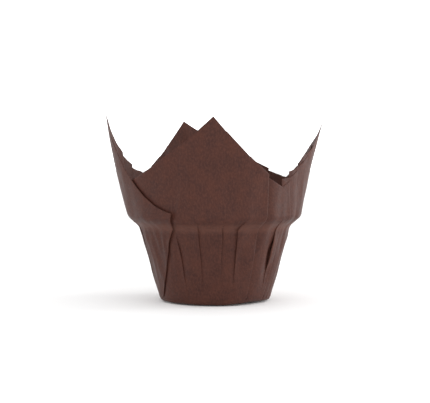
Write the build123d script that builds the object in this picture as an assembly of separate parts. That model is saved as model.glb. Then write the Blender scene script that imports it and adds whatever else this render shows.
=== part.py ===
from build123d import *
import os
from collections import namedtuple
from math import atan2, ceil, cos, degrees, hypot, pi, radians, sin

# A tulip baking cup: one square sheet of greaseproof paper, never cut or stretched, pressed
# round a plunger. The middle of the sheet stays flat as the base. Round it the paper is longer
# than the cup's girth, and the spare length is laid back on itself in pleats. The four corners
# of the square stand up as petals, with a valley of deeper folds between each two.
#
# Lengths are in millimetres. Angles are in degrees from the front (-Y) towards the right (+X).
# The origin is the middle of the base's underside, and +Z is up.

# ---- driving dimensions ---------------------------------------------------------------------
SHEET_SIDE = 160.0          # side of the flat square
PAPER = 0.10                # thickness of the paper
BASE_RADIUS = 25.0          # flat round base
WALL_RADIUS = 34.5          # top of the lower wall
WALL_HEIGHT = 34.8
FLARE_OUT = 5.0             # the step outwards above the lower wall
FLARE_RISE = 4.5
LAYER_SPACING = 0.35        # between the middles of two neighbouring layers of a pleat
PLEAT_START = 4.0           # up the wall from the base's edge, where the pleats close
SHIFT_START = 15.0          # below the flare, where the spare paper starts to gather in the valleys
FADE_RISE = 1.0             # above the flare, where the small pleats have opened again
FACET_ANGLE = 8.0           # widest flat facet across the paper
WALL_ROWS = 4               # rows of facets up the lower wall
PETAL_ROWS = 4              # rows of facets up the petals

# The corners of the square: where each leaves the base, where its tip ends up, and how far
# the tip leans out from the top of the flare.
Corner = namedtuple("Corner", "base tip lean")
CORNERS = [
    Corner(base=-89.0, tip=-88.0, lean=9.7),     # left
    Corner(base=1.0, tip=-1.0, lean=1.0),        # front
    Corner(base=91.0, tip=90.0, lean=9.7),       # right
    Corner(base=181.0, tip=200.0, lean=5.5),     # back, twisted to one side
]

# The pleats in order round the cup. lay is +1 where the outer fold is at the pleat's right hand
# end and -1 where it is at the left. base, wall, flare and rim place the outer fold at those
# heights. low and high are the pleat's shares of the spare paper of its quarter, on the lower
# wall and above the flare: a pleat with none above the flare opens out there. drop is how far
# the cut edge hangs below its even place on the pleat's left, as a share of the valleys' rise.
Pleat = namedtuple("Pleat", "lay base wall flare rim low high drop")
PLEATS = [
    Pleat(+1, -80.0, -80.0, -81.0, -82.0, 0.6, 0.22, 0.00),
    Pleat(+1, -69.0, -34.5, -31.0, -27.6, 1.6, 1.00, 0.93),
    Pleat(-1, -26.0, -32.0, -27.0, -20.0, 0.7, 0.00, 0.00),
    Pleat(+1, -12.5, -12.3, -12.0, -12.0, 0.5, 0.00, 0.00),
    Pleat(+1, 9.5, 5.0, 5.5, 5.5, 0.9, 0.00, 0.05),
    Pleat(+1, 19.5, 17.0, 19.5, 20.5, 1.0, 0.00, 0.18),
    Pleat(+1, 32.0, 32.5, 33.5, 34.0, 0.9, 0.00, 0.29),
    Pleat(-1, 48.0, 51.0, 49.0, 46.0, 1.0, 1.00, 0.40),
    Pleat(-1, 61.0, 62.0, 61.0, 58.0, 1.0, 1.00, 0.09),
    Pleat(-1, 74.0, 74.0, 73.0, 71.0, 0.9, 0.12, 0.00),
    Pleat(+1, 98.0, 98.0, 98.5, 99.0, 0.8, 0.00, 0.00),
    Pleat(+1, 109.0, 110.0, 111.0, 112.0, 0.9, 0.35, 0.09),
    Pleat(+1, 121.0, 123.0, 123.0, 124.0, 1.0, 1.00, 0.09),
    Pleat(+1, 133.0, 135.0, 136.0, 137.0, 1.0, 0.80, 0.00),
    Pleat(+1, 145.0, 148.0, 149.0, 150.0, 0.9, 0.30, 0.00),
    Pleat(+1, 157.0, 161.0, 163.0, 165.0, 0.9, 0.00, -0.18),
    Pleat(+1, 169.0, 174.0, 177.0, 184.0, 0.7, 0.00, -0.36),
    Pleat(+1, 192.0, 198.0, 204.0, 212.0, 0.7, 0.00, 0.13),
    Pleat(+1, 205.0, 209.0, 213.0, 218.0, 0.9, 0.30, 0.22),
    Pleat(+1, 217.0, 220.0, 223.0, 226.0, 1.0, 0.80, 0.18),
    Pleat(+1, 229.0, 231.0, 233.0, 235.0, 1.0, 1.00, 0.18),
    Pleat(+1, 241.0, 243.0, 244.0, 245.0, 0.9, 0.50, 0.27),
    Pleat(+1, 254.0, 255.0, 256.0, 257.0, 0.8, 0.12, 0.00),
]

# ---- the cup's profile ----------------------------------------------------------------------
# A run is a distance along the paper from the middle of the base.
QUARTER = 90.0
TURN = 360.0
HALF_SIDE = SHEET_SIDE / 2
TIP_RUN = HALF_SIDE * 2 ** 0.5
START_RUN = BASE_RADIUS + PLEAT_START
WALL_RUN = BASE_RADIUS + hypot(WALL_RADIUS - BASE_RADIUS, WALL_HEIGHT)
FLARE_RUN = WALL_RUN + hypot(FLARE_OUT, FLARE_RISE)
SHIFT_RUN = FLARE_RUN - SHIFT_START
FADE_RUN = FLARE_RUN + FADE_RISE
FLARE_RADIUS = WALL_RADIUS + FLARE_OUT
FLARE_HEIGHT = WALL_HEIGHT + FLARE_RISE
PETAL_RUN = TIP_RUN - FLARE_RUN
VALLEY_RISE = HALF_SIDE - FADE_RUN


def between(value, start, end):
    """How far value lies from start to end, held within 0 and 1."""
    return min(1.0, max(0.0, (value - start) / (end - start)))


def mix(low, high, share):
    return low + (high - low) * share


def corner_at(index, run):
    """The angle of a corner's middle line at a run. An index past 3 goes round again."""
    corner = CORNERS[index % len(CORNERS)]
    share = between(run, BASE_RADIUS, TIP_RUN)
    return mix(corner.base, corner.tip, share) + TURN * (index // len(CORNERS))


def lean_at(angle):
    """How far the wall leans out at this angle, changing evenly from tip to tip."""
    index = max(i for i in range(-2, 6) if corner_at(i, TIP_RUN) <= angle)
    share = between(angle, corner_at(index, TIP_RUN), corner_at(index + 1, TIP_RUN))
    here = CORNERS[index % len(CORNERS)].lean
    there = CORNERS[(index + 1) % len(CORNERS)].lean
    return mix(here, there, (1 - cos(pi * share)) / 2)


def profile(run, angle):
    """Radius and height of the wall at a run."""
    if run <= WALL_RUN:
        share = between(run, BASE_RADIUS, WALL_RUN)
        return mix(BASE_RADIUS, WALL_RADIUS, share), WALL_HEIGHT * share
    if run <= FLARE_RUN:
        share = between(run, WALL_RUN, FLARE_RUN)
        return WALL_RADIUS + FLARE_OUT * share, WALL_HEIGHT + FLARE_RISE * share
    share = (run - FLARE_RUN) / PETAL_RUN
    lean = lean_at(angle)
    rise = (PETAL_RUN ** 2 - lean ** 2) ** 0.5
    return FLARE_RADIUS + lean * share, FLARE_HEIGHT + rise * share


# ---- the pleats -----------------------------------------------------------------------------
def quarter_of(pleat):
    return max(i for i in range(len(CORNERS)) if CORNERS[i].base <= pleat.base)


def fold_angle(pleat, run):
    """Where the pleat's outer fold is, on straight lines between the heights of the table."""
    if run <= WALL_RUN:
        return mix(pleat.base, pleat.wall, between(run, BASE_RADIUS, WALL_RUN))
    if run <= FLARE_RUN:
        return mix(pleat.wall, pleat.flare, between(run, WALL_RUN, FLARE_RUN))
    return mix(pleat.flare, pleat.rim, between(run, FLARE_RUN, HALF_SIDE))


def share_at(pleat, run):
    return mix(pleat.low, pleat.high, between(run, SHIFT_RUN, FADE_RUN))


def spare_paper(quarter, run, samples=8):
    """How much longer the paper of one quarter is than the cup's girth there."""
    start, end = corner_at(quarter, run), corner_at(quarter + 1, run)
    angles = [mix(start, end, (i + 0.5) / samples) for i in range(samples)]
    mean_radius = sum(profile(run, angle)[0] for angle in angles) / samples
    return radians(QUARTER) * run - mean_radius * radians(end - start)


def folded_depth(pleat, run):
    """The pleat's part of the spare paper, which lies folded in two."""
    quarter = quarter_of(pleat)
    total = sum(share_at(other, run) for other in PLEATS if quarter_of(other) == quarter)
    return spare_paper(quarter, run) / 2 * share_at(pleat, run) / total


def depth(pleat, run):
    """How far the hidden layers reach behind the outer fold: nothing until the pleat closes."""
    return max(0.0, folded_depth(pleat, run) - folded_depth(pleat, START_RUN))


def step(pleat, run):
    """How far the paper steps inwards at the pleat, over its three layers."""
    opened = between(run, FADE_RUN, TIP_RUN) if pleat.high == 0 else 0.0
    return 2 * LAYER_SPACING * between(run, BASE_RADIUS, START_RUN) * (1 - opened)


def panel_stops(index, run):
    """The angles a panel runs through to its pleat's fold. A corner's middle line is one."""
    before, pleat = PLEATS[index - 1], PLEATS[index]
    start = fold_angle(before, run) - (TURN if index == 0 else 0.0)
    stops = [start, fold_angle(pleat, run)]
    if index == 0 or quarter_of(before) != quarter_of(pleat):
        stops.insert(1, corner_at(quarter_of(pleat), run))
    return stops


def facets(widths):
    """How many flat facets a strip of the paper needs at its widest."""
    return max(1, ceil(max(widths) / FACET_ANGLE))


def panel_facets(index):
    stops = [panel_stops(index, run) for run in KEY_RUNS]
    return [facets(at[k + 1] - at[k] for at in stops) for k in range(len(stops[0]) - 1)]


def reach(pleat, run):
    """The pleat's depth as an angle round the cup."""
    return depth(pleat, run) / radians(profile(run, fold_angle(pleat, run))[0])


KEY_RUNS = [BASE_RADIUS, START_RUN, WALL_RUN, FLARE_RUN, FADE_RUN, HALF_SIDE]
PANEL_FACETS = [panel_facets(index) for index in range(len(PLEATS))]
PLEAT_FACETS = [facets(reach(pleat, run) for run in KEY_RUNS) for pleat in PLEATS]

SAME_POINT = PAPER / 1000


def drop_after(index):
    """The drop on a pleat's right hand side. A deep pleat ends it."""
    return 0.0 if PLEATS[index].high > 0 else PLEATS[index].drop


# A place on the paper's path round the cup: its angle, how far it lies outside the wall's
# outermost layer, and how far the cut edge hangs there.
Place = namedtuple("Place", "angle level drop")


class Section:
    """The paper's path round the cup at one run.

    Each pleat has three layers: its outer fold, a layer that runs back behind it, and one that
    comes forward again under both and becomes the next panel.
    """

    def __init__(self, run):
        self.run = run
        self.folds = [fold_angle(pleat, run) for pleat in PLEATS]
        self.steps = [step(pleat, run) for pleat in PLEATS]
        self.reaches = [reach(pleat, run) for pleat in PLEATS]
        self.path = []
        self.corners = []
        for index in range(len(PLEATS)):
            self.add_panel(index)
            self.add_pleat(index)

    def panel_drop(self, index, angle, stops):
        """How far the cut edge hangs on the panel that ends at this pleat: not at a corner."""
        drops = [drop_after(index - 1)] + [0.0] * (len(stops) - 2) + [PLEATS[index].drop]
        k = 0 if angle <= stops[1] else 1
        return mix(drops[k], drops[k + 1], between(angle, stops[k], stops[k + 1]))

    def panel_level(self, index, share):
        """Level on the panel that ends at this pleat."""
        start = -self.steps[index - 1] if PLEATS[index - 1].lay > 0 else 0.0
        end = 0.0 if PLEATS[index].lay > 0 else -self.steps[index]
        return mix(start, end, share)

    def cover(self, index, behind):
        """Level of the paper over the hidden layers, at an angle behind the outer fold."""
        lay = PLEATS[index].lay
        beyond = (index - lay) % len(PLEATS)
        panel = index if lay > 0 else beyond
        stops = panel_stops(panel, self.run)
        width = stops[-1] - stops[0]
        if behind > width and PLEATS[beyond].lay == lay:
            return self.cover(beyond, behind - width) - self.steps[beyond]
        share = between(behind, 0, width)
        return self.panel_level(panel, 1 - share if lay > 0 else share)

    def add_panel(self, index):
        stops = panel_stops(index, self.run)
        for start, end, count in zip(stops, stops[1:], PANEL_FACETS[index]):
            for i in range(1, count):
                self.add_place(index, stops, mix(start, end, i / count))
            if end != stops[-1]:
                self.corners.append(len(self.path))
                self.add_place(index, stops, end)

    def add_place(self, index, stops, angle):
        level = self.panel_level(index, between(angle, stops[0], stops[-1]))
        self.path.append(Place(angle, level, self.panel_drop(index, angle, stops)))

    def add_pleat(self, index):
        lay, fold, gap = PLEATS[index].lay, self.folds[index], self.steps[index] / 2
        drop, far_drop = PLEATS[index].drop, drop_after(index)
        if lay < 0:
            drop, far_drop = far_drop, drop
        shares = [i / PLEAT_FACETS[index] for i in range(PLEAT_FACETS[index] + 1)]
        back, forward = [], []
        for share in shares:
            behind = share * self.reaches[index]
            cover = self.cover(index, behind)
            back.append(Place(fold - lay * behind, cover - gap, mix(drop, far_drop, share)))
            forward.insert(0, Place(fold - lay * behind, cover - 2 * gap, far_drop))
        layers = [Place(fold, 0.0, drop)] + back + forward
        self.path += layers if lay > 0 else layers[::-1]

    def point(self, place):
        """The middle of the paper's thickness at a place."""
        radius, height = profile(self.run, place.angle)
        turn = radians(place.angle)
        out = radius + place.level
        return Vector(out * sin(turn), -out * cos(turn), height)

    def points(self):
        return [self.point(place) for place in self.path]

    def flat_angles(self):
        """Each place's angle on the flat sheet, which is a quarter turn from corner to corner."""
        points = self.points()
        count = len(points)
        angles = [0.0] * count
        for quarter, start in enumerate(self.corners):
            end = self.corners[(quarter + 1) % len(CORNERS)]
            columns = [(start + i) % count for i in range((end - start) % count + 1)]
            lengths = [0.0]
            for a, b in zip(columns, columns[1:]):
                lengths.append(lengths[-1] + (points[b] - points[a]).length)
            for column, length in zip(columns[:-1], lengths):
                angles[column] = QUARTER * length / lengths[-1]
        return angles


# ---- the sheet's cut edge -------------------------------------------------------------------
SCAN_STEP = 0.5
SCAN_COUNT = ceil((TIP_RUN - FADE_RUN) / SCAN_STEP)
SCAN = [Section(mix(FADE_RUN, TIP_RUN, i / SCAN_COUNT)) for i in range(SCAN_COUNT + 1)]
SCAN_ANGLES = [section.flat_angles() for section in SCAN]
SCAN_POINTS = [section.points() for section in SCAN]
COLUMNS = len(SCAN_POINTS[0])


def edge_run(flat_angle):
    """Run at which a line of the flat square meets its side, a quarter turn between corners."""
    return HALF_SIDE / cos(radians(flat_angle - QUARTER / 2))


def past_edge(i, column):
    """How far a column at one place in the scan is past the cut edge."""
    hanging = SCAN[i].path[column].drop * VALLEY_RISE
    return SCAN[i].run + hanging - edge_run(SCAN_ANGLES[i][column])


def rim_place(column):
    """Where in the scan a column of the paper comes to the cut edge."""
    for i in range(len(SCAN) - 1):
        before, after = past_edge(i, column), past_edge(i + 1, column)
        if after >= 0:
            return i + max(0.0, before / (before - after))
    return len(SCAN) - 1


def scan_point(column, place):
    whole = min(int(place), len(SCAN) - 2)
    low, high = SCAN_POINTS[whole][column], SCAN_POINTS[whole + 1][column]
    return low + (high - low) * (place - whole)


# ---- the sheet's middle surface, a row of points for each height ----------------------------
wall_runs = [mix(START_RUN, WALL_RUN, i / WALL_ROWS) for i in range(WALL_ROWS + 1)]
flare_runs = [mix(WALL_RUN, FLARE_RUN, 0.5), FLARE_RUN, FADE_RUN]
row_runs = [[run] * COLUMNS for run in [BASE_RADIUS] + wall_runs + flare_runs]
rows = [Section(runs[0]).points() for runs in row_runs]
rims = [rim_place(column) for column in range(COLUMNS)]
for i in range(1, PETAL_ROWS + 1):
    places = [rim * i / PETAL_ROWS for rim in rims]
    row_runs.append([mix(FADE_RUN, TIP_RUN, place / SCAN_COUNT) for place in places])
    rows.append([scan_point(column, place) for column, place in enumerate(places)])


def up_wall(point, run):
    """The direction straight up the wall at a point of the paper."""
    angle = atan2(point.X, -point.Y)
    low_radius, low_height = profile(run - PAPER, degrees(angle))
    radius, height = profile(run + PAPER, degrees(angle))
    out = radius - low_radius
    return Vector(out * sin(angle), -out * cos(angle), height - low_height).normalized()


def direction(row, column, way):
    """The way the path goes on from a column, past any columns that lie on the same point."""
    for i in range(1, COLUMNS):
        move = row[(column + way * i) % COLUMNS] - row[column]
        if move.length > SAME_POINT:
            return move.normalized() * way


def thickness(row_index, column):
    """From the paper's middle to its outer face, mitred where the paper is folded."""
    row = rows[row_index]
    up = up_wall(row[column], row_runs[row_index][column])
    first = direction(row, column, -1).cross(up).normalized()
    second = direction(row, column, 1).cross(up).normalized()
    return (first + second) / (1 + first.dot(second)) * (PAPER / 2)


outer, inner = [], []
for i in range(1, len(rows)):
    offsets = [thickness(i, j) for j in range(COLUMNS)]
    outer.append([point + offset for point, offset in zip(rows[i], offsets)])
    inner.append([point - offset for point, offset in zip(rows[i], offsets)])

# The base's edge is a plain ring: no pleat has begun there.
outer.insert(0, [Vector(point.X, point.Y, 0) for point in rows[0]])
shrink = (BASE_RADIUS - PAPER) / BASE_RADIUS
inner.insert(0, [Vector(point.X * shrink, point.Y * shrink, PAPER) for point in rows[0]])


# ---- the solid ------------------------------------------------------------------------------
def same(a, b):
    return (a - b).length < SAME_POINT


def strip(low, high):
    """Ruled faces between two rows of points. Where two points meet, a face is a triangle."""
    faces = []
    for j in range(COLUMNS):
        k = (j + 1) % COLUMNS
        pinched_low, pinched_high = same(low[j], low[k]), same(high[j], high[k])
        if pinched_low and not pinched_high:
            faces.append(Face(Wire.make_polygon([low[j], high[k], high[j]])))
        elif pinched_high and not pinched_low:
            faces.append(Face(Wire.make_polygon([low[j], low[k], high[j]])))
        elif not pinched_low:
            edges = Edge.make_line(low[j], low[k]), Edge.make_line(high[j], high[k])
            faces.append(Face.make_surface_from_curves(*edges))
    return faces


def disc(ring):
    corners = [a for a, b in zip(ring, ring[1:] + ring[:1]) if not same(a, b)]
    return Face(Wire.make_polygon(corners))


faces = [disc(outer[0]), disc(inner[0])]
for surface in (outer, inner):
    for low, high in zip(surface, surface[1:]):
        faces += strip(low, high)
faces += strip(outer[-1], inner[-1])
folded_sheet = Solid(Shell(faces))

os.makedirs("parts", exist_ok=True)
export_step(folded_sheet, "parts/folded_sheet.step")
print("faces", len(faces), "columns", COLUMNS, "valid", folded_sheet.is_valid)
print("paper", round(folded_sheet.volume / PAPER), "mm2 of", round(SHEET_SIDE ** 2))
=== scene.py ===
# %% [markdown]
# # A tulip baking cup, folded from one square sheet
#
# The real thing is a single square of brown greaseproof paper. A plunger presses it into a
# mould: the middle stays flat as the base, the wall gathers into pleats, and the four corners
# stand up as petals. This lesson does the same. It starts from the flat sheet, works out where
# each line of the paper goes round the cup, and then moves the sheet's points there.
#
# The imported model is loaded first. It gives the shared frame, the box that the cup has to
# stay in, and the node that the finished paper will stand for.

# %% Load the frame
from collections import namedtuple
from math import ceil, cos, degrees, exp, hypot, pi, radians, sin

import bmesh
import bpy
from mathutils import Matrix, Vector, noise


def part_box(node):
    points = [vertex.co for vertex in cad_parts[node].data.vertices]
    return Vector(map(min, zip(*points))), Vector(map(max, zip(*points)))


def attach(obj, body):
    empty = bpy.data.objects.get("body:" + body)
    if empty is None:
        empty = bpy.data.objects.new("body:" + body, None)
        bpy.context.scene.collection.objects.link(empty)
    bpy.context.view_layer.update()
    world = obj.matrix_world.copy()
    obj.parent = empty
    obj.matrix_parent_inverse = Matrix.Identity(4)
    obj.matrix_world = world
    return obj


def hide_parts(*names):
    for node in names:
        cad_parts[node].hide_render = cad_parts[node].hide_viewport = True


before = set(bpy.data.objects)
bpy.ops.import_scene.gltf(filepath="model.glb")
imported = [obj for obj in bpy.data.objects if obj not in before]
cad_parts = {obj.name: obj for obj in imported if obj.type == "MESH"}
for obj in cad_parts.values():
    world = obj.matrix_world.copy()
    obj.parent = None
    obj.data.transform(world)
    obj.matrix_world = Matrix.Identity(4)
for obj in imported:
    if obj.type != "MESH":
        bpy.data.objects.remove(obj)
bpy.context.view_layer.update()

MM = 0.001
low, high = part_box("folded_sheet")
print("cup", [round((b - a) / MM, 1) for a, b in zip(low, high)], "mm")

# %% [markdown]
# ## Camera, floor and light
#
# The camera stands half a metre in front of the cup and a little below its petals' tips, so
# it looks almost level. A long lens keeps the cup's sides nearly straight.

# %% Camera
CAMERA_BACK = 550 * MM
CAMERA_HEIGHT = 70 * MM
CAMERA_TILT = 2.6
LENS = 100.8

camera_data = bpy.data.cameras.new("camera")
camera_data.lens = LENS
camera_data.clip_start = 10 * MM
camera = bpy.data.objects.new("camera", camera_data)
camera.location = (0, -CAMERA_BACK, CAMERA_HEIGHT)
camera.rotation_euler = (radians(90 - CAMERA_TILT), 0, 0)
bpy.context.scene.collection.objects.link(camera)
bpy.context.scene.camera = camera
print("camera", tuple(round(v, 3) for v in camera.location))

# %% [markdown]
# Small goods for a catalogue stand on a white floor in a white room. Light comes from
# everywhere, the floor throws some of it back up under the flare, and the cup's own shadow is
# only a soft stain at its foot. The room's walls are brighter than its ceiling, so the inside
# of the cup is in shade. A large lamp above and to the front gives the light a direction, and
# a small low one at the right brightens the edge of the right petal.
#
# The helpers come first. Every colour goes through one function and every node through
# another, so that a material reads as a list of what it is made of.


# %% Helpers for materials
def srgb(code):
    """A hex colour, as it looks on a screen, turned to the linear light that Blender mixes."""
    parts = [int(code[i:i + 2], 16) / 255 for i in (0, 2, 4)]
    linear = [c / 12.92 if c <= 0.04045 else ((c + 0.055) / 1.055) ** 2.4 for c in parts]
    return (*linear, 1.0)


def add_node(tree, kind, settings=None, inputs=None, links=None):
    """Adds a node, with its settings, its fixed inputs and the sockets that feed it."""
    node = tree.nodes.new(kind)
    for name, value in (settings or {}).items():
        setattr(node, name, value)
    for name, value in (inputs or {}).items():
        node.inputs[name].default_value = value
    for name, socket in (links or {}).items():
        tree.links.new(socket, node.inputs[name])
    return node


def new_material(name):
    """An empty material: its node tree and its output."""
    material = bpy.data.materials.new(name)
    material.use_nodes = True
    material.node_tree.nodes.clear()
    return material, material.node_tree


# %% [markdown]
# The floor is one large white square, so big that its edges are never seen. It is the stage,
# not part of the cup.

# %% Floor and light
FLOOR_SIZE = 6.0

floor_mesh = bpy.data.meshes.new("floor")
floor_form = bmesh.new()
bmesh.ops.create_grid(floor_form, x_segments=1, y_segments=1, size=FLOOR_SIZE / 2)
floor_form.to_mesh(floor_mesh)
floor_form.free()
floor = bpy.data.objects.new("floor", floor_mesh)
bpy.context.scene.collection.objects.link(floor)

floor_material, tree = new_material("white_floor")
floor_shader = add_node(tree, "ShaderNodeBsdfPrincipled", inputs={
    "Base Color": srgb("ffffff"), "Roughness": 0.9, "Specular IOR Level": 0.1})
add_node(tree, "ShaderNodeOutputMaterial", links={"Surface": floor_shader.outputs["BSDF"]})
floor_mesh.materials.append(floor_material)

WALL_GLOW = 1.95
CEILING_GLOW = 0.7

world = bpy.data.worlds.new("white_room")
world.use_nodes = True
world_shader = world.node_tree.nodes["Background"]
world_shader.inputs["Color"].default_value = srgb("ffffff")
sky = add_node(world.node_tree, "ShaderNodeTexCoord")
upwards = add_node(world.node_tree, "ShaderNodeSeparateXYZ", links={"Vector": sky.outputs["Generated"]})
glow = add_node(world.node_tree, "ShaderNodeMapRange", inputs={
    "From Min": 0.0, "From Max": 1.0, "To Min": WALL_GLOW, "To Max": CEILING_GLOW},
    links={"Value": upwards.outputs["Z"]})
world.node_tree.links.new(glow.outputs["Result"], world_shader.inputs["Strength"])
bpy.context.scene.world = world
bpy.context.scene.view_settings.view_transform = "Standard"


def add_lamp(name, place, aim, size, power):
    """A square soft lamp at a place, turned towards another."""
    lamp = bpy.data.lights.new(name, "AREA")
    lamp.size = size
    lamp.energy = power
    holder = bpy.data.objects.new(name, lamp)
    holder.location = place
    holder.rotation_euler = (Vector(aim) - Vector(place)).to_track_quat("-Z", "Y").to_euler()
    bpy.context.scene.collection.objects.link(holder)
    return holder


add_lamp("key_lamp", place=(0.45, -0.5, 0.6), aim=(0, 0, 0.03), size=0.5, power=0.6)
add_lamp("side_lamp", place=(0.6, 0.1, 0.13), aim=(0, 0, 0.05), size=0.2, power=1.7)

# %% [markdown]
# ## The cup's profile
#
# Cut the cup in half and its wall is a simple line: out along the flat base, up the lower
# wall, out over a short flare and up into the petals. Every length is measured along the
# paper from the middle of the base, and called a run, because paper doesn't stretch: a point
# that is 70 mm from the sheet's middle before folding is 70 mm along the wall afterwards.

# %% Profile
SHEET_SIDE = 160 * MM
PAPER = 0.1 * MM
BASE_RADIUS = 25 * MM
WALL_RADIUS = 34.5 * MM
WALL_HEIGHT = 34.4 * MM
FLARE_OUT = 5 * MM
FLARE_RISE = 4.1 * MM
BEND_REACH = 1.0 * MM      # how far a bend in the profile spreads along the paper
BASE_BEND = 0.8 * MM       # the same at the base

HALF_SIDE = SHEET_SIDE / 2
TIP_RUN = HALF_SIDE * 2 ** 0.5
WALL_RUN = BASE_RADIUS + hypot(WALL_RADIUS - BASE_RADIUS, WALL_HEIGHT)
FLARE_RUN = WALL_RUN + hypot(FLARE_OUT, FLARE_RISE)
START_RUN = BASE_RADIUS + 4 * MM
SHIFT_RUN = FLARE_RUN - 15 * MM
FADE_RUN = FLARE_RUN + 1 * MM
PETAL_RUN = TIP_RUN - FLARE_RUN
TURN = 360.0
QUARTER = 90.0

FLAT_RADIUS = 18 * MM      # the base lies on the table out to here
EDGE_LIFT = 0.5 * MM       # and its edge stands off by this much
BENT_UP = 46.0             # where the edge is bent up, and how far
BENT_REACH = 20.0
BENT_LIFT = 1.0 * MM
LIFT_SHARE = 0.4           # how much of the lower wall takes up the lift

# Each corner of the square: where it leaves the base, where its tip ends up, how far it leans
# out, how it curls, and how far its tip sags. A plus curl turns the tip outwards and a minus
# one stands it upright. The sheet was not quite in the middle, so one tip stands higher.
Corner = namedtuple("Corner", "base tip lean curl sag")
CORNERS = [
    Corner(-89.0, -88.0, 9.7 * MM, -0.4, -1.3 * MM),
    Corner(1.0, -1.0, 1.0 * MM, 0.0, 1.6 * MM),
    Corner(91.0, 90.0, 9.7 * MM, 0.35, 1.5 * MM),
    Corner(181.0, 200.0, 5.5 * MM, 0.1, 1.7 * MM),
]


def between(value, start, end):
    """How far value lies from start to end, held within 0 and 1."""
    return min(1.0, max(0.0, (value - start) / (end - start)))


def mix(low, high, share):
    return low + (high - low) * share


def ease(share):
    """Turns an even change into one that starts and stops gently."""
    return share * share * (3 - 2 * share)


def corner_at(index, run):
    """The angle of a corner's middle line at a run. An index past 3 goes round again."""
    corner = CORNERS[index % 4]
    share = between(run, BASE_RADIUS, TIP_RUN)
    return mix(corner.base, corner.tip, share) + TURN * (index // 4)


def base_lift(angle):
    """How far the base's edge is off the table: one stretch of it has been bent up."""
    away = (angle - BENT_UP + TURN / 2) % TURN - TURN / 2
    return EDGE_LIFT + BENT_LIFT * exp(-(away / BENT_REACH) ** 2)


def petal_at(angle):
    """The wall's lean, curl and sag at this angle, mixed from tip to tip, and its base's lift."""
    index = max(i for i in range(-2, 6) if corner_at(i, TIP_RUN) <= angle)
    share = between(angle, corner_at(index, TIP_RUN), corner_at(index + 1, TIP_RUN))
    share = (1 - cos(pi * share)) / 2
    here, there = CORNERS[index % 4], CORNERS[(index + 1) % 4]
    return [mix(a, b, share) for a, b in zip(here[2:], there[2:])] + [base_lift(angle)]


def sharp_profile(run, petal):
    """Radius and height of the wall at a run, with sharp bends."""
    lean, curl, sag, lift = petal
    if run <= BASE_RADIUS:
        return run, lift * ease(between(run, FLAT_RADIUS, BASE_RADIUS))
    if run <= WALL_RUN:
        share = between(run, BASE_RADIUS, WALL_RUN)
        lift *= 1 - ease(between(share, 0, LIFT_SHARE))
        return mix(BASE_RADIUS, WALL_RADIUS, share), WALL_HEIGHT * share + lift
    if run <= FLARE_RUN:
        share = between(run, WALL_RUN, FLARE_RUN)
        return WALL_RADIUS + FLARE_OUT * share, WALL_HEIGHT + FLARE_RISE * share
    share = (run - FLARE_RUN) / PETAL_RUN
    rise = (PETAL_RUN ** 2 - lean ** 2) ** 0.5 * share - sag * share ** 2
    out = lean * (share + curl * share * (share - 1))
    return WALL_RADIUS + FLARE_OUT + out, WALL_HEIGHT + FLARE_RISE + rise


def profile(run, petal):
    """The same with its bends rounded: the mean of three places along the paper."""
    reach = mix(BASE_BEND, BEND_REACH, between(run, START_RUN, WALL_RUN))
    places = [sharp_profile(run + k * reach, petal) for k in (-1, 0, 1)]
    return sum(p[0] for p in places) / 3, sum(p[1] for p in places) / 3


print("runs", [round(run / MM, 1) for run in (WALL_RUN, FLARE_RUN, HALF_SIDE, TIP_RUN)], "mm")

# %% [markdown]
# ## Pleats
#
# Round the base's edge the paper is longer than the cup's girth, and the spare length is laid
# back on itself. A pleat is three layers: the outer one ends in a fold, a second runs back
# behind it, and a third comes forward again and becomes the next panel. The table below is
# the order that the hand or the plunger left. For each pleat it says:
#
# - lay: +1 if its outer fold points to the right, and -1 if it points to the left
# - base, wall, flare, rim: the fold's angle at those four heights, in degrees from the front
# - bow: how far its line bows to the side on the lower wall, in degrees
# - low, high: its share of its quarter's spare paper, low on the wall and above the flare.
#   A small pleat has none above the flare, because it has opened out there
# - size: how big a step it makes at the shoulder, where 1 is the biggest
# - opens: how many millimetres past the flare a small pleat has opened out flat
# - pale: how much paler its fold is drawn: partly dye cracked off the fold, partly a painted highlight on
#   its ridge

# %% The pleats in order round the cup
BOW_SCALE = 27 / 4         # so that the line bows by the pleat's own number at its most

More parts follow.
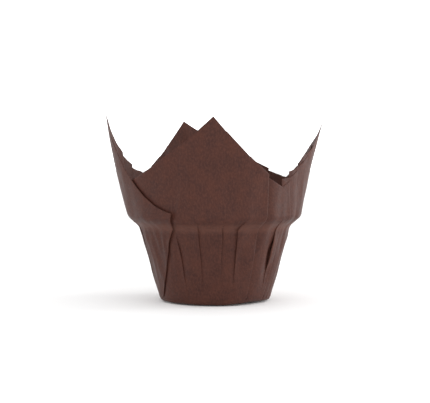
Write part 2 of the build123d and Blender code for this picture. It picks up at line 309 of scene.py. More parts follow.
Pleat = namedtuple("Pleat", "lay base wall flare rim bow low high size opens pale")
PLEATS = [
    Pleat(+1, -80.0, -80.0, -81.0, -82.0, 0.0, 0.6, 0.00, 0.3, 4.0, 0.15),
    Pleat(+1, -69.0, -31.4, -28.6, -24.0, 6.8, 1.6, 1.00, 0.8, 0.0, 0.3),
    Pleat(+1, -25.0, -30.2, -24.5, -18.0, -1.0, 0.25, 0.00, 0.9, -8.0, 0.15),
    Pleat(+1, -12.5, -12.3, -12.0, -12.0, 1.0, 0.5, 0.00, 0.8, 1.0, 0.15),
    Pleat(+1, 9.5, 4.5, 6.5, 7.0, -3.0, 0.9, 0.00, 1.0, 1.0, 0.15),
    Pleat(-1, 19.5, 17.0, 20.5, 21.5, -1.5, 1.0, 0.00, 1.0, 1.5, 0.15),
    Pleat(+1, 32.0, 32.5, 34.0, 34.5, 1.0, 0.9, 1.30, 0.8, 1.0, 0.15),
    Pleat(-1, 48.0, 51.0, 49.0, 46.0, 3.0, 0.5, 0.00, 0.4, 2.0, 0.9),
    Pleat(+1, 56.0, 57.5, 56.0, 52.5, 1.0, 0.9, 0.45, 0.3, 0.0, 0.3),
    Pleat(+1, 64.0, 65.0, 63.5, 59.5, 0.0, 0.8, 0.45, 0.3, 0.0, 0.3),
    Pleat(+1, 76.0, 76.0, 74.0, 69.0, -1.0, 1.0, 0.45, 0.3, 0.0, 0.3),
    Pleat(+1, 98.0, 98.0, 98.5, 99.0, 1.0, 0.8, 0.00, 0.8, 4.0, 0.15),
    Pleat(+1, 108.0, 108.0, 108.5, 107.5, -1.0, 0.9, 0.40, 0.7, 0.0, 0.15),
    Pleat(+1, 120.0, 120.5, 119.0, 116.5, 0.5, 1.0, 0.90, 0.7, 0.0, 0.15),
    Pleat(+1, 133.0, 134.0, 132.0, 129.0, -1.0, 1.0, 0.90, 0.8, 0.0, 0.15),
    Pleat(+1, 145.0, 147.0, 147.0, 147.0, 1.5, 0.9, 0.30, 0.8, 0.0, 0.15),
    Pleat(+1, 157.0, 161.0, 163.0, 165.0, -1.5, 0.9, 0.00, 1.0, 5.0, 0.15),
    Pleat(+1, 169.0, 174.0, 177.0, 184.0, 1.0, 0.7, 0.00, 0.9, 5.0, 0.15),
    Pleat(+1, 192.0, 198.0, 204.0, 212.0, -1.0, 0.7, 0.00, 1.0, 5.0, 0.15),
    Pleat(+1, 205.0, 209.0, 213.0, 218.0, 1.0, 0.9, 0.00, 0.8, 5.0, 0.15),
    Pleat(+1, 217.0, 220.0, 222.5, 225.6, -1.0, 1.0, 0.90, 0.8, 0.0, 0.15),
    Pleat(+1, 229.0, 231.0, 233.0, 235.0, 1.0, 1.0, 0.90, 0.7, 0.0, 0.15),
    Pleat(+1, 238.0, 240.0, 241.5, 242.6, -0.5, 0.7, 0.45, 0.6, 0.0, 0.15),
    Pleat(+1, 246.0, 247.0, 248.0, 248.6, 0.5, 0.5, 0.25, 0.5, 0.0, 0.15),
    Pleat(+1, 256.0, 256.0, 256.0, 256.2, 1.0, 0.7, 0.20, 0.5, 0.0, 0.15),
]


def quarter_of(pleat):
    return max(i for i in range(4) if CORNERS[i].base <= pleat.base)


def fold_angle(pleat, run):
    """Where the pleat's outer fold is at a run."""
    if run <= WALL_RUN:
        share = between(run, BASE_RADIUS, WALL_RUN)
        return mix(pleat.base, pleat.wall, share) + BOW_SCALE * pleat.bow * share * (1 - share) ** 2
    if run <= FLARE_RUN:
        return mix(pleat.wall, pleat.flare, between(run, WALL_RUN, FLARE_RUN))
    return mix(pleat.flare, pleat.rim, between(run, FLARE_RUN, HALF_SIDE))


def share_at(pleat, run):
    return mix(pleat.low, pleat.high, between(run, SHIFT_RUN, FADE_RUN))


print(len(PLEATS), "pleats, in quarters", [sum(quarter_of(p) == q for p in PLEATS) for q in range(4)])

# %% [markdown]
# How deep is each pleat? The paper of one quarter is a quarter of a circle as long as the
# run. The wall has only a quarter of its own girth for it. The difference is the spare
# paper, and each pleat takes its share, folded in two.


# %% Depth of the pleats
def spare_paper(quarter, run, samples=8):
    """How much longer the paper of one quarter is than the cup's girth there."""
    start, end = corner_at(quarter, run), corner_at(quarter + 1, run)
    angles = [mix(start, end, (i + 0.5) / samples) for i in range(samples)]
    mean_radius = sum(profile(run, petal_at(angle))[0] for angle in angles) / samples
    return radians(QUARTER) * run - mean_radius * radians(end - start)


def depths_at(run):
    """The depth of every pleat at a run."""
    depths = []
    for pleat in PLEATS:
        quarter = quarter_of(pleat)
        total = sum(share_at(p, run) for p in PLEATS if quarter_of(p) == quarter)
        depths.append(spare_paper(quarter, run) / 2 * share_at(pleat, run) / total)
    return depths


START_DEPTHS = depths_at(START_RUN)
print("deepest pleat at the flare", round(max(depths_at(FLARE_RUN)) / MM, 1), "mm")

# %% [markdown]
# Seen from outside, a pleat is a small step in the wall with a shadow under it. Pressed
# paper springs back a little, so a fold stands proud along its last millimetre, most at the
# shoulder where the wall turns outwards. Two folds have sprung right open: the big flap on
# the left, and one on the right that gapes like an eyelid.

# %% Steps and lifted folds
LEAST_STEP = 0.24 * MM     # three layers pressed flat
SMALL_STEP = 0.2 * MM      # low on the wall
SHOULDER_STEP = 0.65 * MM  # at the shoulder
OPENING = 9 * MM           # the length over which a small pleat opens out at the top
BEGINNING = 14 * MM        # and over which it begins at the base
SETTLE = 2.5 * MM          # from a fold to where the panel under it is back in the wall's line
LIP = 0.3 * MM
LIP_REACH = 1.2 * MM
UNDER_REACH = 1.5 * MM     # where two pleats meet, one stack goes down under the other in this

Lift = namedtuple("Lift", "pleat amount hollow reach start full ease_off end")
LIFTS = [
    Lift(1, 0.35 * MM, 0.0, 6 * MM, 26 * MM, 32 * MM, 70 * MM, 95 * MM),
    Lift(1, 0.7 * MM, 0.0, 26 * MM, 60 * MM, 68 * MM, 90 * MM, 100 * MM),
    Lift(7, 0.6 * MM, 1.1 * MM, 4 * MM, 40 * MM, 49 * MM, 49 * MM, 59 * MM),
]


def closed_at(pleat, run):
    """How far the pleat is closed: 1 for shut, and 0 where it has opened out flat."""
    if pleat.high > 0:
        return 1.0
    end = FLARE_RUN + pleat.opens * MM
    begun = ease(between(run, START_RUN, START_RUN + BEGINNING))
    return begun * (1 - ease(between(run, end - OPENING, end)))


def stretch_of(item, run):
    """How far along its stretch a lifted fold has opened at a run, from 0 to 1."""
    return ease(between(run, item.start, item.full)) * (1 - ease(between(run, item.ease_off, item.end)))


def step_at(index, run):
    """How far the paper steps inwards at the pleat, over its three layers."""
    pleat = PLEATS[index]
    size = pleat.size * mix(SMALL_STEP, SHOULDER_STEP, ease(between(run, START_RUN, WALL_RUN)))
    size = max(size, LEAST_STEP)
    size += sum(item.hollow * stretch_of(item, run) for item in LIFTS if item.pleat == index)
    return size * closed_at(pleat, run) * between(run, BASE_RADIUS, START_RUN)


def lift_at(index, run, distance, step):
    """How far the outer layer stands off the wall beside its fold."""
    lift = LIP * min(1.0, step / SHOULDER_STEP) * exp(-(distance / LIP_REACH) ** 2)
    for item in LIFTS:
        if item.pleat == index:
            lift += item.amount * stretch_of(item, run) * exp(-(distance / item.reach) ** 2)
    return lift


print("lifted folds at", [round(PLEATS[item.pleat].wall) for item in LIFTS], "degrees")

# %% [markdown]
# ## The paper's path round the cup
#
# Cut the cup level at one run and the paper makes a closed line that goes back and forth
# through every pleat. The columns of the sheet are places on that line. There are more of
# them beside a fold than in the middle of a panel, and each fold is a half turn of a few
# places, so that it is round and catches the light.

# %% Columns of the sheet
PANEL_FACET = 2.3
LAYER_FACET = 3.5
FOLD_PIECES = 4
CROWD = 1.6                # how strongly columns crowd towards an outer fold

KEY_RUNS = [BASE_RADIUS, START_RUN, mix(START_RUN, WALL_RUN, 0.5), WALL_RUN, FLARE_RUN, FADE_RUN, HALF_SIDE]


def panel_stops(index, run):
    """The angles a panel runs through to its pleat's fold. A corner's middle line is one."""
    before, pleat = PLEATS[index - 1], PLEATS[index]
    start = fold_angle(before, run) - (TURN if index == 0 else 0.0)
    stops = [start, fold_angle(pleat, run)]
    if index == 0 or quarter_of(before) != quarter_of(pleat):
        stops.insert(1, corner_at(quarter_of(pleat), run))
    return stops


def panel_columns(index):
    """How many columns each stretch of a panel needs."""
    stops = [panel_stops(index, run) for run in KEY_RUNS]
    widths = [max(at[k + 1] - at[k] for at in stops) for k in range(len(stops[0]) - 1)]
    return [max(3, ceil(width / PANEL_FACET)) for width in widths]


def layer_columns(index):
    """How many columns each hidden layer of a pleat needs."""
    angles = []
    for run in KEY_RUNS:
        radius = profile(run, petal_at(PLEATS[index].wall))[0]
        angles.append(degrees((depths_at(run)[index] - START_DEPTHS[index]) / radius))
    return max(2, ceil(max(angles) / LAYER_FACET))


PANEL_COLUMNS = [panel_columns(index) for index in range(len(PLEATS))]
LAYER_COLUMNS = [layer_columns(index) for index in range(len(PLEATS))]
print("columns in panels", sum(map(sum, PANEL_COLUMNS)), "and in layers", 2 * sum(LAYER_COLUMNS))


# %% [markdown]
# One level line holds the whole path: every panel in turn, each followed by its pleat. A
# place on it has an angle, a level in or out from the wall, how far the cut edge hangs
# there, and how pale the paper is drawn, which at a fold is partly a painted highlight. A
# pleat's hidden layers follow whatever covers them.

# %% One level line of the paper
OPEN_SPREAD = 0.3 * MM
FLAP = 1                   # the pleat that is the big flap
FLAP_HOLLOW = 2.1          # its cut edge comes down in a hollow line; 1 would be straight
Place = namedtuple("Place", "angle level hang crease")
hangs = [(0.0, 0.0)] * len(PLEATS)    # left and right of each pleat, worked out with the cut edge


class LevelLine:
    """The paper's path round the cup at one run."""

    def __init__(self, run):
        self.run = run
        self.folds = [fold_angle(pleat, run) for pleat in PLEATS]
        self.steps = [step_at(index, run) for index in range(len(PLEATS))]
        self.radii = [max(MM, profile(run, petal_at(fold))[0]) for fold in self.folds]
        self.closed = [closed_at(pleat, run) for pleat in PLEATS]
        self.depths = [max(0.0, a - b) * c for a, b, c in zip(depths_at(run), START_DEPTHS, self.closed)]
        self.stops = [panel_stops(index, run) for index in range(len(PLEATS))]
        self.widths = [radians(stops[-1] - stops[0]) * radius
                       for stops, radius in zip(self.stops, self.radii)]
        self.path = []
        self.corners = []
        self.sides = []
        for index in range(len(PLEATS)):
            self.add_panel(index)
            self.add_pleat(index)

    def panel_level(self, index, from_start, from_end):
        """Level of a panel: it dips under the folds near either end, and is even between."""
        level, count = 0.0, len(PLEATS)
        distance = from_start
        for fold in (index - 1, index - 2):
            if PLEATS[fold].lay < 0:
                break
            level -= self.steps[fold] * (1 - ease(between(distance, 0, SETTLE)))
            distance += self.widths[fold]
        distance = from_end
        for fold in (index % count, (index + 1) % count):
            if PLEATS[fold].lay > 0:
                break
            level -= self.steps[fold] * (1 - ease(between(distance, 0, SETTLE)))
            distance += self.widths[(fold + 1) % count]
        return level

    def cover(self, index, behind):
        """Level of the paper over the hidden layers, at a distance behind the outer fold."""
        lay = PLEATS[index].lay
        beyond = (index - lay) % len(PLEATS)
        panel = index if lay > 0 else beyond
        width = self.widths[panel]
        if behind > width and PLEATS[beyond].lay == lay:
            return self.cover(beyond, behind - width) - self.steps[beyond]
        rest = max(0.0, width - behind)
        level = self.panel_level(panel, *((rest, behind) if lay > 0 else (behind, rest)))
        if lay > 0 and PLEATS[beyond].lay < 0:
            reached = width - self.depths[beyond]
            level -= self.steps[beyond] * ease(between(behind, reached - UNDER_REACH, reached))
        return level

    def panel_hang(self, index, angle):
        """How far the cut edge hangs below its even place on a panel: not at all at a tip."""
        stops = self.stops[index]
        ends = [hangs[index - 1][1]] + [0.0] * (len(stops) - 2) + [hangs[index][0]]
        k = 0 if angle <= stops[1] else 1
        share = between(angle, stops[k], stops[k + 1])
        if index == FLAP:
            share = 1 - (1 - share) ** FLAP_HOLLOW
        return mix(ends[k], ends[k + 1], share)

    def add_panel(self, index):
        stops = self.stops[index]
        crowd_start = PLEATS[index - 1].lay < 0
        crowd_end = PLEATS[index].lay > 0
        for k, count in enumerate(PANEL_COLUMNS[index]):
            at_start, at_end = crowd_start and k == 0, crowd_end and k == len(stops) - 2
            for i in range(1, count):
                share = i / count
                if at_start and at_end:
                    share = (1 - cos(pi * share)) / 2
                elif at_start:
                    share = share ** CROWD
                elif at_end:
                    share = 1 - (1 - share) ** CROWD
                self.add_place(index, mix(stops[k], stops[k + 1], share))
            if k < len(stops) - 2:
                self.corners.append(len(self.path))
                self.add_place(index, stops[k + 1])

    def add_place(self, index, angle):
        stops, before = self.stops[index], (index - 1) % len(PLEATS)
        from_start = radians(angle - stops[0]) * self.radii[before]
        from_end = radians(stops[-1] - angle) * self.radii[index]
        level, crease = self.panel_level(index, from_start, from_end), 0.0
        if PLEATS[index].lay > 0:
            level += lift_at(index, self.run, from_end, self.steps[index])
        if PLEATS[before].lay < 0:
            level += lift_at(before, self.run, from_start, self.steps[before])
        self.path.append(Place(angle, level, self.panel_hang(index, angle), crease))

    def add_pleat(self, index):
        lay, fold, radius = PLEATS[index].lay, self.folds[index], self.radii[index]
        gap, depth = self.steps[index] / 2, self.depths[index]
        near, far = hangs[index]
        if lay < 0:
            near, far = far, near
        # A fold is drawn paler: partly dye cracked off it, partly a painted highlight on its rounded ridge.
        crease = PLEATS[index].pale * self.closed[index] * between(self.run, BASE_RADIUS, START_RUN)

        def place(behind, level, hang, mark=0.0):
            return Place(fold - lay * degrees(behind / radius), level, hang, mark)

        top = self.cover(index, 0) + lift_at(index, self.run, 0, self.steps[index])
        layers = []
        for i in range(FOLD_PIECES):
            turn = pi * i / FOLD_PIECES
            level = top - gap / 2 * (1 - cos(turn))
            layers.append(place(-gap / 2 * sin(turn), level, near, crease))
        shares = [i / LAYER_COLUMNS[index] for i in range(LAYER_COLUMNS[index] + 1)]
        for share in shares:
            behind = share * depth
            lift = lift_at(index, self.run, behind, self.steps[index])
            level = self.cover(index, behind) + lift * (1 - share ** 3) - gap
            layers.append(place(behind, level, mix(near, far, share ** 3)))
        for i in range(1, FOLD_PIECES):
            turn = pi * i / FOLD_PIECES
            level = self.cover(index, depth) - gap - gap / 2 * (1 - cos(turn))
            layers.append(place(depth + gap / 2 * sin(turn), level, far))
        for share in reversed(shares):
            behind = share * depth
            layers.append(place(behind, self.cover(index, behind) - 2 * gap, far))
        if self.closed[index] < 1:
            layers = self.open_out(index, layers)
        self.sides.append((len(self.path), len(self.path) + len(layers) - 1))
        self.path += layers if lay > 0 else layers[::-1]

    def open_out(self, index, layers):
        """An opening pleat's places move to lie side by side, so that no two are the same."""
        lay, closed = PLEATS[index].lay, self.closed[index]
        spread = lay * degrees(OPEN_SPREAD / self.radii[index])
        opened = []
        for i, place in enumerate(layers):
            angle = self.folds[index] + spread * (i / (len(layers) - 1) - 0.5)
            opened.append(place._replace(angle=mix(angle, place.angle, closed)))
        return opened

    def points(self):
        """The middle of the paper's thickness at every place."""
        found = []
        for place in self.path:
            radius, height = profile(self.run, petal_at(place.angle))
            out = radius + place.level + crinkle(self.run, place.angle)
            turn = radians(place.angle)
            found.append(Vector((out * sin(turn), -out * cos(turn), height + PAPER / 2)))
        return found

    def flat_angles(self, points):
        """Each place's angle on the flat sheet, which is a quarter turn from corner to corner."""
        count = len(points)
        angles = [0.0] * count
        for quarter, start in enumerate(self.corners):
            end = self.corners[(quarter + 1) % 4]
            columns = [(start + i) % count for i in range((end - start) % count + 1)]
            lengths = [0.0]
            for a, b in zip(columns, columns[1:]):
                lengths.append(lengths[-1] + (points[b] - points[a]).length)
            for column, length in zip(columns[:-1], lengths):
                angles[column] = QUARTER * (quarter + length / lengths[-1])
        return angles


# %% [markdown]
# Handled paper is never quite even. A slow waviness and some upright creases are added to
# the wall as a whole, by the place on the cup, so that the layers of a pleat move together
# and never pass through each other. The base is left flat.

# %% Crinkles
WAVE_SIZE = 14 * MM
WAVE_HEIGHT = 0.5 * MM
CREASE_SIZE = 3.5 * MM
CREASE_STRETCH = 0.22
CREASE_HEIGHT = 0.5 * MM
PUCKER_SIZE = 2.6 * MM      # small puckers where the wall turns outwards
PUCKER_STRETCH = 0.35
PUCKER_HEIGHT = 0.5 * MM
PUCKER_REACH = 9 * MM


def crinkle(run, angle):
    """How far the wall stands out or in at a place."""
    turn, radius = radians(angle), WALL_RADIUS
    spot = Vector((radius * sin(turn), -radius * cos(turn), run))
    wave = noise.noise(spot / WAVE_SIZE)
    spot.z *= CREASE_STRETCH
    crease = noise.noise(spot / CREASE_SIZE)
    spot.z *= PUCKER_STRETCH / CREASE_STRETCH
    below = (run - WALL_RUN + PUCKER_REACH / 2) / PUCKER_REACH
    pucker = noise.noise(spot / PUCKER_SIZE) * exp(-below ** 2)
    size = between(run, BASE_RADIUS, START_RUN + 10 * MM)
    return size * (wave * WAVE_HEIGHT + crease * CREASE_HEIGHT + pucker * PUCKER_HEIGHT)


print("crinkle at the shoulder", [round(crinkle(WALL_RUN, a) / MM, 2) for a in (0, 5, 10, 15)], "mm")

# %% [markdown]
# ## The cut edge
#
# The square's side is 80 mm from the middle of the sheet, and farther towards the corners.
# A column of the paper ends where its run reaches that side. The column's angle on the flat
# sheet changes a little on the way up, so each column is followed upwards to find its end.
#
# Paper pleated by a plunger is pulled down a little more in some folds than in others. So the
# cut edge is set by its four valleys: where each one is, how low it comes, and how hollow the
# line from it up to the tips on its left and right is, where 1 is straight. The cut edges of
# a deep pleat's layers are staggered, and the script works out how far each fold hangs.

# %% Follow each column to the cut edge
Valley = namedtuple("Valley", "angle height left right")
VALLEYS = [
    Valley(-58.0, 54.0 * MM, 1.0, 1.25),
    Valley(46.0, 52.5 * MM, 1.25, 1.1),
    Valley(127.0, 55.0 * MM, 1.1, 1.25),
    Valley(236.0, 56.0 * MM, 1.5, 1.3),
]
STAGGER = 1.4 * MM
EVEN_REACH = 7.5           # degrees from a tip within which the cut edge keeps its even place
FLAP_HEIGHT = 41.5 * MM    # where the big flap's cut edge ends

SCAN_STEP = 1.0 * MM
SCAN_COUNT = ceil((TIP_RUN - FADE_RUN) / SCAN_STEP)
scan_lines = [LevelLine(mix(FADE_RUN, TIP_RUN, i / SCAN_COUNT)) for i in range(SCAN_COUNT + 1)]
scan_points = [line.points() for line in scan_lines]
scan_angles = [line.flat_angles(points) for line, points in zip(scan_lines, scan_points)]
COLUMNS = len(scan_points[0])


def edge_run(flat_angle):
    """Run at which a line of the flat square meets its side."""
    return HALF_SIDE / cos(radians(flat_angle % QUARTER - QUARTER / 2))


def past_edge(i, column):
    """How far a column is past the cut edge at one level line."""
    line = scan_lines[i]
    return line.run + line.path[column].hang - edge_run(scan_angles[i][column])


def rim_place(column):
    """Where among the level lines a column comes to the cut edge."""
    for i in range(SCAN_COUNT):
        before, after = past_edge(i, column), past_edge(i + 1, column)
        if after >= 0:
            return i + max(0.0, before / (before - after))
    return SCAN_COUNT


def cut_height(index, side):
    """How high the cut edge is on the left, -1, or the right, +1, of a pleat's fold."""
    if index == FLAP and side < 0:
        return FLAP_HEIGHT
    pleat, quarter = PLEATS[index], quarter_of(PLEATS[index])
    valley = VALLEYS[quarter]
    away = pleat.rim - valley.angle
    tip = corner_at(quarter + (away > 0), TIP_RUN)
    share = away / (tip - valley.angle)
    hollow = valley.right if away > 0 else valley.left
    height = mix(valley.height, profile(TIP_RUN, petal_at(tip))[1], share ** hollow)
    uphill = 1 if away > 0 else -1
    return height + (side * uphill * STAGGER / 2 if pleat.high > 0 else 0.0)


def hang_at(index, side):
    """How far a pleat's cut edge hangs below its even place, for that height."""
    pleat, quarter = PLEATS[index], quarter_of(PLEATS[index])
    tips = [corner_at(quarter, TIP_RUN), corner_at(quarter + 1, TIP_RUN)]
    if min(abs(pleat.rim - tip) for tip in tips) < EVEN_REACH:
        return 0.0
    column = scan_lines[0].sides[index][0 if side < 0 else 1]
    height = cut_height(index, side)
    heights = [points[column].z for points in scan_points]
    i = next(i for i in range(1, SCAN_COUNT + 1) if heights[i] >= height)
    share = between(height, heights[i - 1], heights[i])
    run = mix(scan_lines[i - 1].run, scan_lines[i].run, share)
    return edge_run(mix(scan_angles[i - 1][column], scan_angles[i][column], share)) - run


hangs[:] = [(hang_at(index, -1), hang_at(index, +1)) for index in range(len(PLEATS))]
scan_lines = [LevelLine(line.run) for line in scan_lines]
rims = [rim_place(column) for column in range(COLUMNS)]
print(COLUMNS, "columns; cut edge from", round(min(rims) * SCAN_STEP / MM, 1), "to",
      round(max(rims) * SCAN_STEP / MM, 1), "mm above the flare")

# %% [markdown]
# ## Fold the sheet
#
# The sheet starts as a flat grid, made by one operator. Its columns are the places round the
# cup and its rows are the heights. Every point is then moved to where its bit of paper
# lies on the folded cup. The grid's two side edges meet at the back, and its first row shrinks
# to the middle of the base, so the doubled points there are merged.

# %% Rows of the sheet
# The shoulder band is drawn paler: partly paper paled by pressing, partly a painted highlight where the
# flare faces down to the bright floor.
SHOULDER_PALE_AND_HIGHLIGHT = 0.8
SHOULDER_REACH = 2.5 * MM
SHOULDER_PAST = 0.9 * MM   # the palest line is this far past the top of the lower wall
BASE_RINGS = 6
RING_CROWD = 0.7           # below 1, the base's rings crowd towards its edge
WALL_ROWS = 24
FLARE_ROWS = 9
PETAL_ROWS = 32

row_runs = [BASE_RADIUS * (i / BASE_RINGS) ** RING_CROWD for i in range(BASE_RINGS + 1)]
row_runs += [mix(BASE_RADIUS, WALL_RUN - BEND_REACH, i / WALL_ROWS) for i in range(1, WALL_ROWS + 1)]
row_runs += [mix(WALL_RUN - BEND_REACH, FADE_RUN, i / FLARE_ROWS) for i in range(1, FLARE_ROWS + 1)]


def petal_row(share):
    """Points and flat places at a share of the way from the flare to the cut edge."""
    points, flats = [], []
    for column, rim in enumerate(rims):
        place = rim * share
        whole = min(int(place), SCAN_COUNT - 1)
        part = place - whole
        points.append(scan_points[whole][column].lerp(scan_points[whole + 1][column], part))
        turn = radians(mix(scan_angles[whole][column], scan_angles[whole + 1][column], part))
        run = mix(FADE_RUN, TIP_RUN, place / SCAN_COUNT)
        flats.append((run * cos(turn), run * sin(turn)))
    return points, flats


def shoulder_pale_and_highlight(run):
    """A paler band along the shoulder: partly paper paled by pressing, partly a painted highlight."""
    return SHOULDER_PALE_AND_HIGHLIGHT * exp(-((run - WALL_RUN - SHOULDER_PAST) / SHOULDER_REACH) ** 4)


# Each point also keeps how pale it is drawn at the folds and the shoulder band: cracked dye plus painted
# highlight.
rows, flat_rows, pale_and_highlight_rows = [], [], []
for run in row_runs:
    line = LevelLine(run)
    points = line.points()
    rows.append(points)
    turns = [radians(angle) for angle in line.flat_angles(points)] if run else [0.0] * COLUMNS
    flat_rows.append([(run * cos(turn), run * sin(turn)) for turn in turns])
    pale_and_highlight_rows.append([max(place.crease, shoulder_pale_and_highlight(run)) for place in line.path])
for i in range(1, PETAL_ROWS + 1):
    points, flats = petal_row(i / PETAL_ROWS)
    rows.append(points)
    flat_rows.append(flats)
    pale_and_highlight_rows.append([place.crease * (1 - i / PETAL_ROWS) for place in scan_lines[0].path])
print(len(rows), "rows of", COLUMNS, "columns")

# %% [markdown]
# Now the folding. The rows and columns are known, so each point of the flat grid is looked up
# and put where its paper is. Its place on the flat sheet is kept too, as the paper's own map.

# %% Move the flat grid's points
sheet_form = bmesh.new()
uv_layer = sheet_form.loops.layers.uv.new("flat_sheet")
pale_and_highlight_layer = sheet_form.verts.layers.float.new("crease")
bmesh.ops.create_grid(sheet_form, x_segments=COLUMNS, y_segments=len(rows) - 1, size=1)

flat_places = {}
for vertex in sheet_form.verts:
    column = round((vertex.co.x + 1) / 2 * COLUMNS) % COLUMNS
    row = round((vertex.co.y + 1) / 2 * (len(rows) - 1))
    vertex.co = rows[row][column]
    vertex[pale_and_highlight_layer] = pale_and_highlight_rows[row][column]
    flat_places[vertex] = flat_rows[row][column]
for face in sheet_form.faces:
    for loop in face.loops:
        x, y = flat_places[loop.vert]
        loop[uv_layer].uv = (x / SHEET_SIDE + 0.5, y / SHEET_SIDE + 0.5)
print("grid", len(sheet_form.verts), "points")

# %% [markdown]
# The seam at the back and the middle of the base are closed, and all faces are turned to face
# outwards before the paper gets its thickness.

# %% Close the seam and the middle
MERGE = PAPER / 50
bmesh.ops.remove_doubles(sheet_form, verts=sheet_form.verts, dist=MERGE)
bmesh.ops.recalc_face_normals(sheet_form, faces=sheet_form.faces)
base_face = min(sheet_form.faces, key=lambda face: face.calc_center_median().xy.length)
if base_face.normal.z > 0:
    bmesh.ops.reverse_faces(sheet_form, faces=sheet_form.faces)
loose = [edge for edge in sheet_form.edges if not edge.link_faces]
open_edges = [edge for edge in sheet_form.edges if edge.is_boundary]
print("open edges", len(open_edges), "loose", len(loose), "faces", len(sheet_form.faces))

# %% [markdown]
# The surface so far has no thickness. A Solidify modifier gives it the paper's tenth of a
# millimetre, half on each side, so that it can be seen from inside, outside and on its edge.

# %% Thickness and shading
sheet_mesh = bpy.data.meshes.new("folded_baking_paper")
sheet_form.to_mesh(sheet_mesh)
sheet_form.free()
sheet_mesh.polygons.foreach_set("use_smooth", [True] * len(sheet_mesh.polygons))
sheet = bpy.data.objects.new("folded_baking_paper", sheet_mesh)
bpy.context.scene.collection.objects.link(sheet)

thickness = sheet.modifiers.new("paper_thickness", "SOLIDIFY")
thickness.thickness = PAPER
thickness.offset = 0
print("triangles", 4 * len(sheet_mesh.polygons))

# %% [markdown]
# ## The paper's finish
#
# Greaseproof baking paper is dyed wood fibre, beaten fine and pressed until it is dense and
# smooth. It is matt, with a faint sheen at a glancing angle, and a slight cloudiness where
# the fibres lie thicker. Folds and the band along the shoulder are drawn paler: partly dye
# cracked along them, partly a painted highlight where their ridges catch the light. The pattern
# is laid out on the flat sheet's own map, in millimetres, so it follows the paper into the folds.

# %% Colour of brown greaseproof paper
DYE = "46261d"
DYE_DARK = "381c16"
FIBRE_PALE = "5a3429"
# Folds and the shoulder band are drawn paler, towards this colour: partly dye cracked off, partly a painted
# highlight where their ridges catch the light.
PALE_FOLD_AND_HIGHLIGHT = "704a3e"
CLOUD_SIZE = 7.0           # mm
FIBRE_SIZE = 0.8           # mm; real fibres are finer, so they are drawn coarser to show
FIBRE_STRETCH = 0.6        # fibres lie a little more along the machine's direction
FIBRE_SHARE = 0.45         # how far the palest fibres go towards their own colour
PALE_FOLD_AND_HIGHLIGHT_SHARE = 0.35         # and how far the palest folds and shoulder go towards it: cracked dye plus painted highlight
COLOUR_A, COLOUR_B, COLOUR_OUT = 6, 7, 2    # a Mix node's colour sockets

paper_material, tree = new_material("brown_greaseproof_paper")
flat_map = add_node(tree, "ShaderNodeUVMap", {"uv_map": "flat_sheet"})
in_mm = add_node(tree, "ShaderNodeMapping", inputs={"Scale": (SHEET_SIDE / MM,) * 3},
                 links={"Vector": flat_map.outputs["UV"]})
clouds = add_node(tree, "ShaderNodeTexNoise", {"noise_dimensions": "2D"},
                  {"Scale": 1 / CLOUD_SIZE, "Detail": 5.0, "Roughness": 0.65},
                  {"Vector": in_mm.outputs["Vector"]})
along = add_node(tree, "ShaderNodeMapping", inputs={"Scale": (1.0, FIBRE_STRETCH, 1.0)},
                 links={"Vector": in_mm.outputs["Vector"]})
fibres = add_node(tree, "ShaderNodeTexNoise", {"noise_dimensions": "2D"},
                  {"Scale": 1 / FIBRE_SIZE, "Detail": 3.0, "Roughness": 0.6},
                  {"Vector": along.outputs["Vector"]})
dyed = add_node(tree, "ShaderNodeValToRGB", links={"Fac": clouds.outputs["Fac"]})
for stop, place, colour in zip(dyed.color_ramp.elements, (0.3, 0.7), (DYE_DARK, DYE)):
    stop.position = place
    stop.color = srgb(colour)
fibre_share = add_node(tree, "ShaderNodeMapRange", inputs={
    "From Min": 0.4, "From Max": 0.75, "To Min": 0.0, "To Max": FIBRE_SHARE},
    links={"Value": fibres.outputs["Fac"]})
with_fibres = add_node(tree, "ShaderNodeMix", {"data_type": "RGBA"}, {COLOUR_B: srgb(FIBRE_PALE)},
                       {"Factor": fibre_share.outputs["Result"], COLOUR_A: dyed.outputs["Color"]})
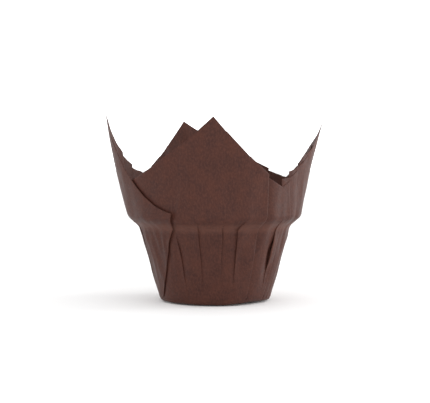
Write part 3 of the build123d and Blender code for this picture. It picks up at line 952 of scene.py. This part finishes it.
# How pale each point is drawn, read from the mesh: cracked dye and painted highlight on the folds and the
# shoulder.
crease = add_node(tree, "ShaderNodeAttribute", {"attribute_name": "crease"})
pale_fold_and_highlight_share = add_node(tree, "ShaderNodeMath", {"operation": "MULTIPLY"}, {1: PALE_FOLD_AND_HIGHLIGHT_SHARE},
                       {0: crease.outputs["Fac"]})
with_pale_folds_and_highlights = add_node(tree, "ShaderNodeMix", {"data_type": "RGBA"}, {COLOUR_B: srgb(PALE_FOLD_AND_HIGHLIGHT)}, {
    "Factor": pale_fold_and_highlight_share.outputs["Value"], COLOUR_A: with_fibres.outputs[COLOUR_OUT]})

# %% [markdown]
# What the eye gets from it is a soft brown with a fine mottle and no highlight. The relief is
# slight: fine puckers from the press, and fibres over them. The cloudier the paper, the
# rougher it is, so the faint sheen is broken up.

# %% Surface of brown greaseproof paper
FIBRE_RELIEF = 0.04        # mm
COCKLE_SIZE = 2.2          # mm, the fine puckering of pressed paper
COCKLE_RELIEF = 0.16       # mm

cockle = add_node(tree, "ShaderNodeTexNoise", {"noise_dimensions": "2D"},
                  {"Scale": 1 / COCKLE_SIZE, "Detail": 2.0, "Roughness": 0.5},
                  {"Vector": in_mm.outputs["Vector"]})
cockled = add_node(tree, "ShaderNodeBump", inputs={
    "Strength": 0.6, "Distance": COCKLE_RELIEF * MM}, links={"Height": cockle.outputs["Fac"]})
fibred = add_node(tree, "ShaderNodeBump", inputs={
    "Strength": 0.6, "Distance": FIBRE_RELIEF * MM},
    links={"Height": fibres.outputs["Fac"], "Normal": cockled.outputs["Normal"]})
matt = add_node(tree, "ShaderNodeMapRange", inputs={
    "From Min": 0.3, "From Max": 0.7, "To Min": 0.5, "To Max": 0.65},
    links={"Value": clouds.outputs["Fac"]})
paper_shader = add_node(tree, "ShaderNodeBsdfPrincipled", inputs={
    "IOR": 1.5, "Specular IOR Level": 0.2, "Sheen Weight": 0.03, "Sheen Roughness": 0.4,
    "Sheen Tint": srgb("e8d8d0")}, links={
    "Base Color": with_pale_folds_and_highlights.outputs[COLOUR_OUT], "Roughness": matt.outputs["Result"],
    "Normal": fibred.outputs["Normal"]})
add_node(tree, "ShaderNodeOutputMaterial", links={"Surface": paper_shader.outputs["BSDF"]})
sheet_mesh.materials.append(paper_material)
print("paper nodes", len(tree.nodes))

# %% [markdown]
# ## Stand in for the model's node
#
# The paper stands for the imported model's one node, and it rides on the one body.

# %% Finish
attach(sheet, "root")
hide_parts("folded_sheet")
bpy.context.view_layer.update()
